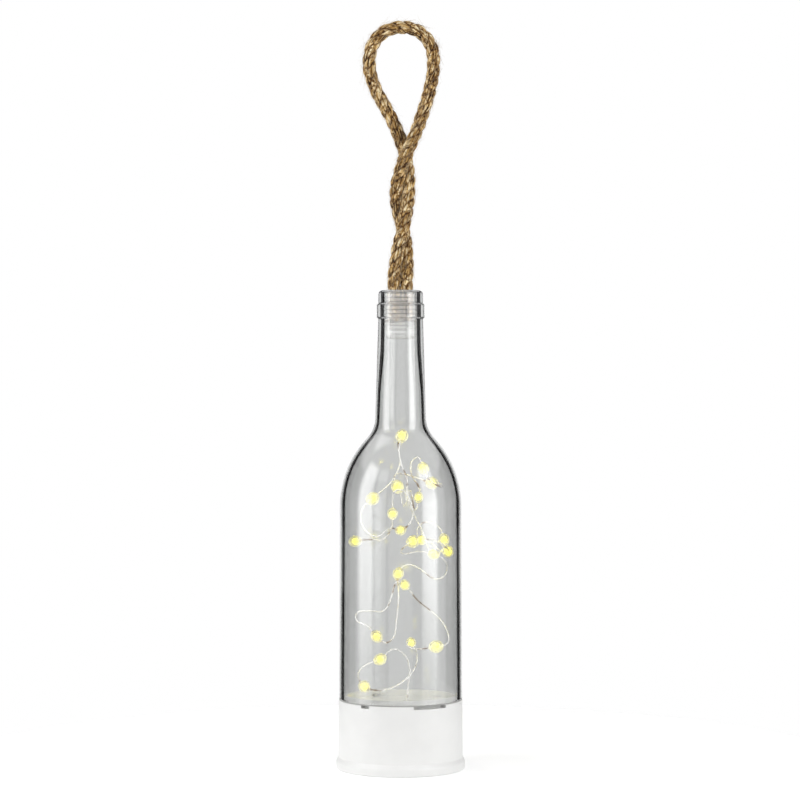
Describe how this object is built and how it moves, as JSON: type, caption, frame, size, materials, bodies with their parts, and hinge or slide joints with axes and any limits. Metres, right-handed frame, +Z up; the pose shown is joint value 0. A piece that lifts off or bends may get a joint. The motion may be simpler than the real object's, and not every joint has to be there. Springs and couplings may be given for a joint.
{
  "type": "cork bottle light",
  "caption": "Clear glass bottle lit by a string of small warm lamps on fine wire, standing on a white battery base, with a twisted rope hanging loop set in the neck.",
  "frame": {"origin": "centre of the base's foot, on the table", "axes": "+Z up along the bottle's axis, -Y towards the viewer of the picture, +X to the viewer's right"},
  "size_m": [0.08, 0.08, 0.4634],
  "materials": {
    "clear_glass": "clear, slightly grey",
    "clear_plastic": "clear",
    "rope_fibre": "laid natural fibre",
    "light_wire_metal": "fine lacquered wire",
    "lamp_resin": "clear resin",
    "lamp_chip": "lamp",
    "white_plastic": "satin moulded",
    "grey_plastic": "satin moulded, pale",
    "seal_rubber": "matte",
    "grommet_rubber": "matte",
    "screw_steel": "plated",
    "spring_steel": "plated",
    "contact_plate": "nickel plated",
    "cell_jacket": "gloss jacket",
    "board_laminate": "solder mask",
    "black_plastic": "moulded",
    "capacitor_can": "sleeved can",
    "red_insulation": "smooth",
    "black_insulation": "smooth"
  },
  "bodies": {
    "bottle_and_base": {"glass_bottle": "clear_glass", "light_wire": "light_wire_metal", "led_drops": "lamp_resin", "led_chips": "lamp_chip", "base_housing": "white_plastic", "glass_seal": "seal_rubber", "base_cover": "grey_plastic", "cover_screws": "screw_steel", "wire_grommet": "grommet_rubber", "battery_cells": "cell_jacket", "battery_springs": "spring_steel", "battery_contacts": "contact_plate", "circuit_board": "board_laminate", "timer_chip": "black_plastic", "board_resistors": "black_plastic", "board_capacitor": "capacitor_can", "board_screws": "screw_steel", "switch_case": "black_plastic", "positive_lead": "red_insulation", "negative_lead": "black_insulation", "string_lead": "light_wire_metal"},
    "stopper_and_rope": {"stopper": "clear_plastic", "hanging_rope": "rope_fibre"},
    "door": {"battery_door": "white_plastic"},
    "slider": {"switch_slider": "black_plastic"}
  },
  "joints": [
    {"name": "stopper_pull", "type": "slide", "parent": "bottle_and_base", "child": "stopper_and_rope", "axis": [0, 0, 1], "range_m": [0, 0.045]},
    {"name": "door_hinge", "type": "hinge", "parent": "bottle_and_base", "child": "door", "pos_m": [0, 0.0164, 0.0026], "axis": [1, 0, 0], "range_deg": [0, 90]},
    {"name": "switch_slide", "type": "slide", "parent": "bottle_and_base", "child": "slider", "axis": [-1, 0, 0], "range_m": [0, 0.004]}
  ]
}
